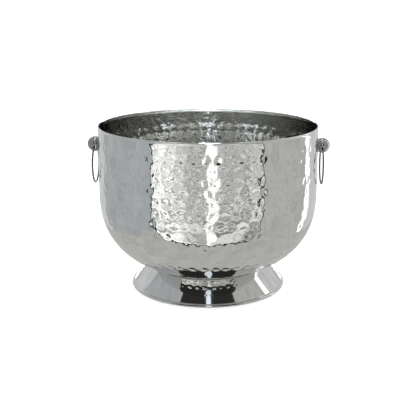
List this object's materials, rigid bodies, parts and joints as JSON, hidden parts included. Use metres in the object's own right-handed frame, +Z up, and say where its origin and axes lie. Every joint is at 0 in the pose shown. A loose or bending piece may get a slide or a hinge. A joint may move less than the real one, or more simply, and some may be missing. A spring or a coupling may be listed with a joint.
{
  "type": "champagne bucket",
  "caption": "Deep hammered metal bowl on a flared round foot, with a ball knob and loose drop ring at each side, for holding ice and bottles.",
  "frame": {"origin": "on the ground, on the bowl's axis, at the bottom of the foot's hem", "axes": "+Z up out of the bowl's mouth, +X towards the right-hand handle, +Y away from the front"},
  "size_m": [0.401, 0.3612, 0.2725],
  "materials": {
    "hammered_steel": "mirror-polished stainless steel with rows of hammer marks",
    "polished_steel": "smooth mirror-polished stainless steel",
    "knob_steel": "polished steel ball",
    "ring_wire": "polished round wire",
    "fastener_steel": "plain satin steel fastener"
  },
  "bodies": {
    "bucket": {"bowl": "hammered_steel", "foot": "polished_steel", "knob_right": "knob_steel", "knob_washer_right": "fastener_steel", "knob_screw_right": "fastener_steel", "knob_left": "knob_steel", "knob_washer_left": "fastener_steel", "knob_screw_left": "fastener_steel"},
    "right_handle": {"ring_right": "ring_wire"},
    "left_handle": {"ring_left": "ring_wire"}
  },
  "joints": [
    {"name": "right_ring_swing", "type": "hinge", "parent": "bucket", "child": "right_handle", "pos_m": [0.18795, 0, 0.2342], "axis": [0, -1, 0], "range_deg": [-5, 192]},
    {"name": "left_ring_swing", "type": "hinge", "parent": "bucket", "child": "left_handle", "pos_m": [-0.18795, 0, 0.2342], "axis": [0, 1, 0], "range_deg": [-5, 192]}
  ]
}
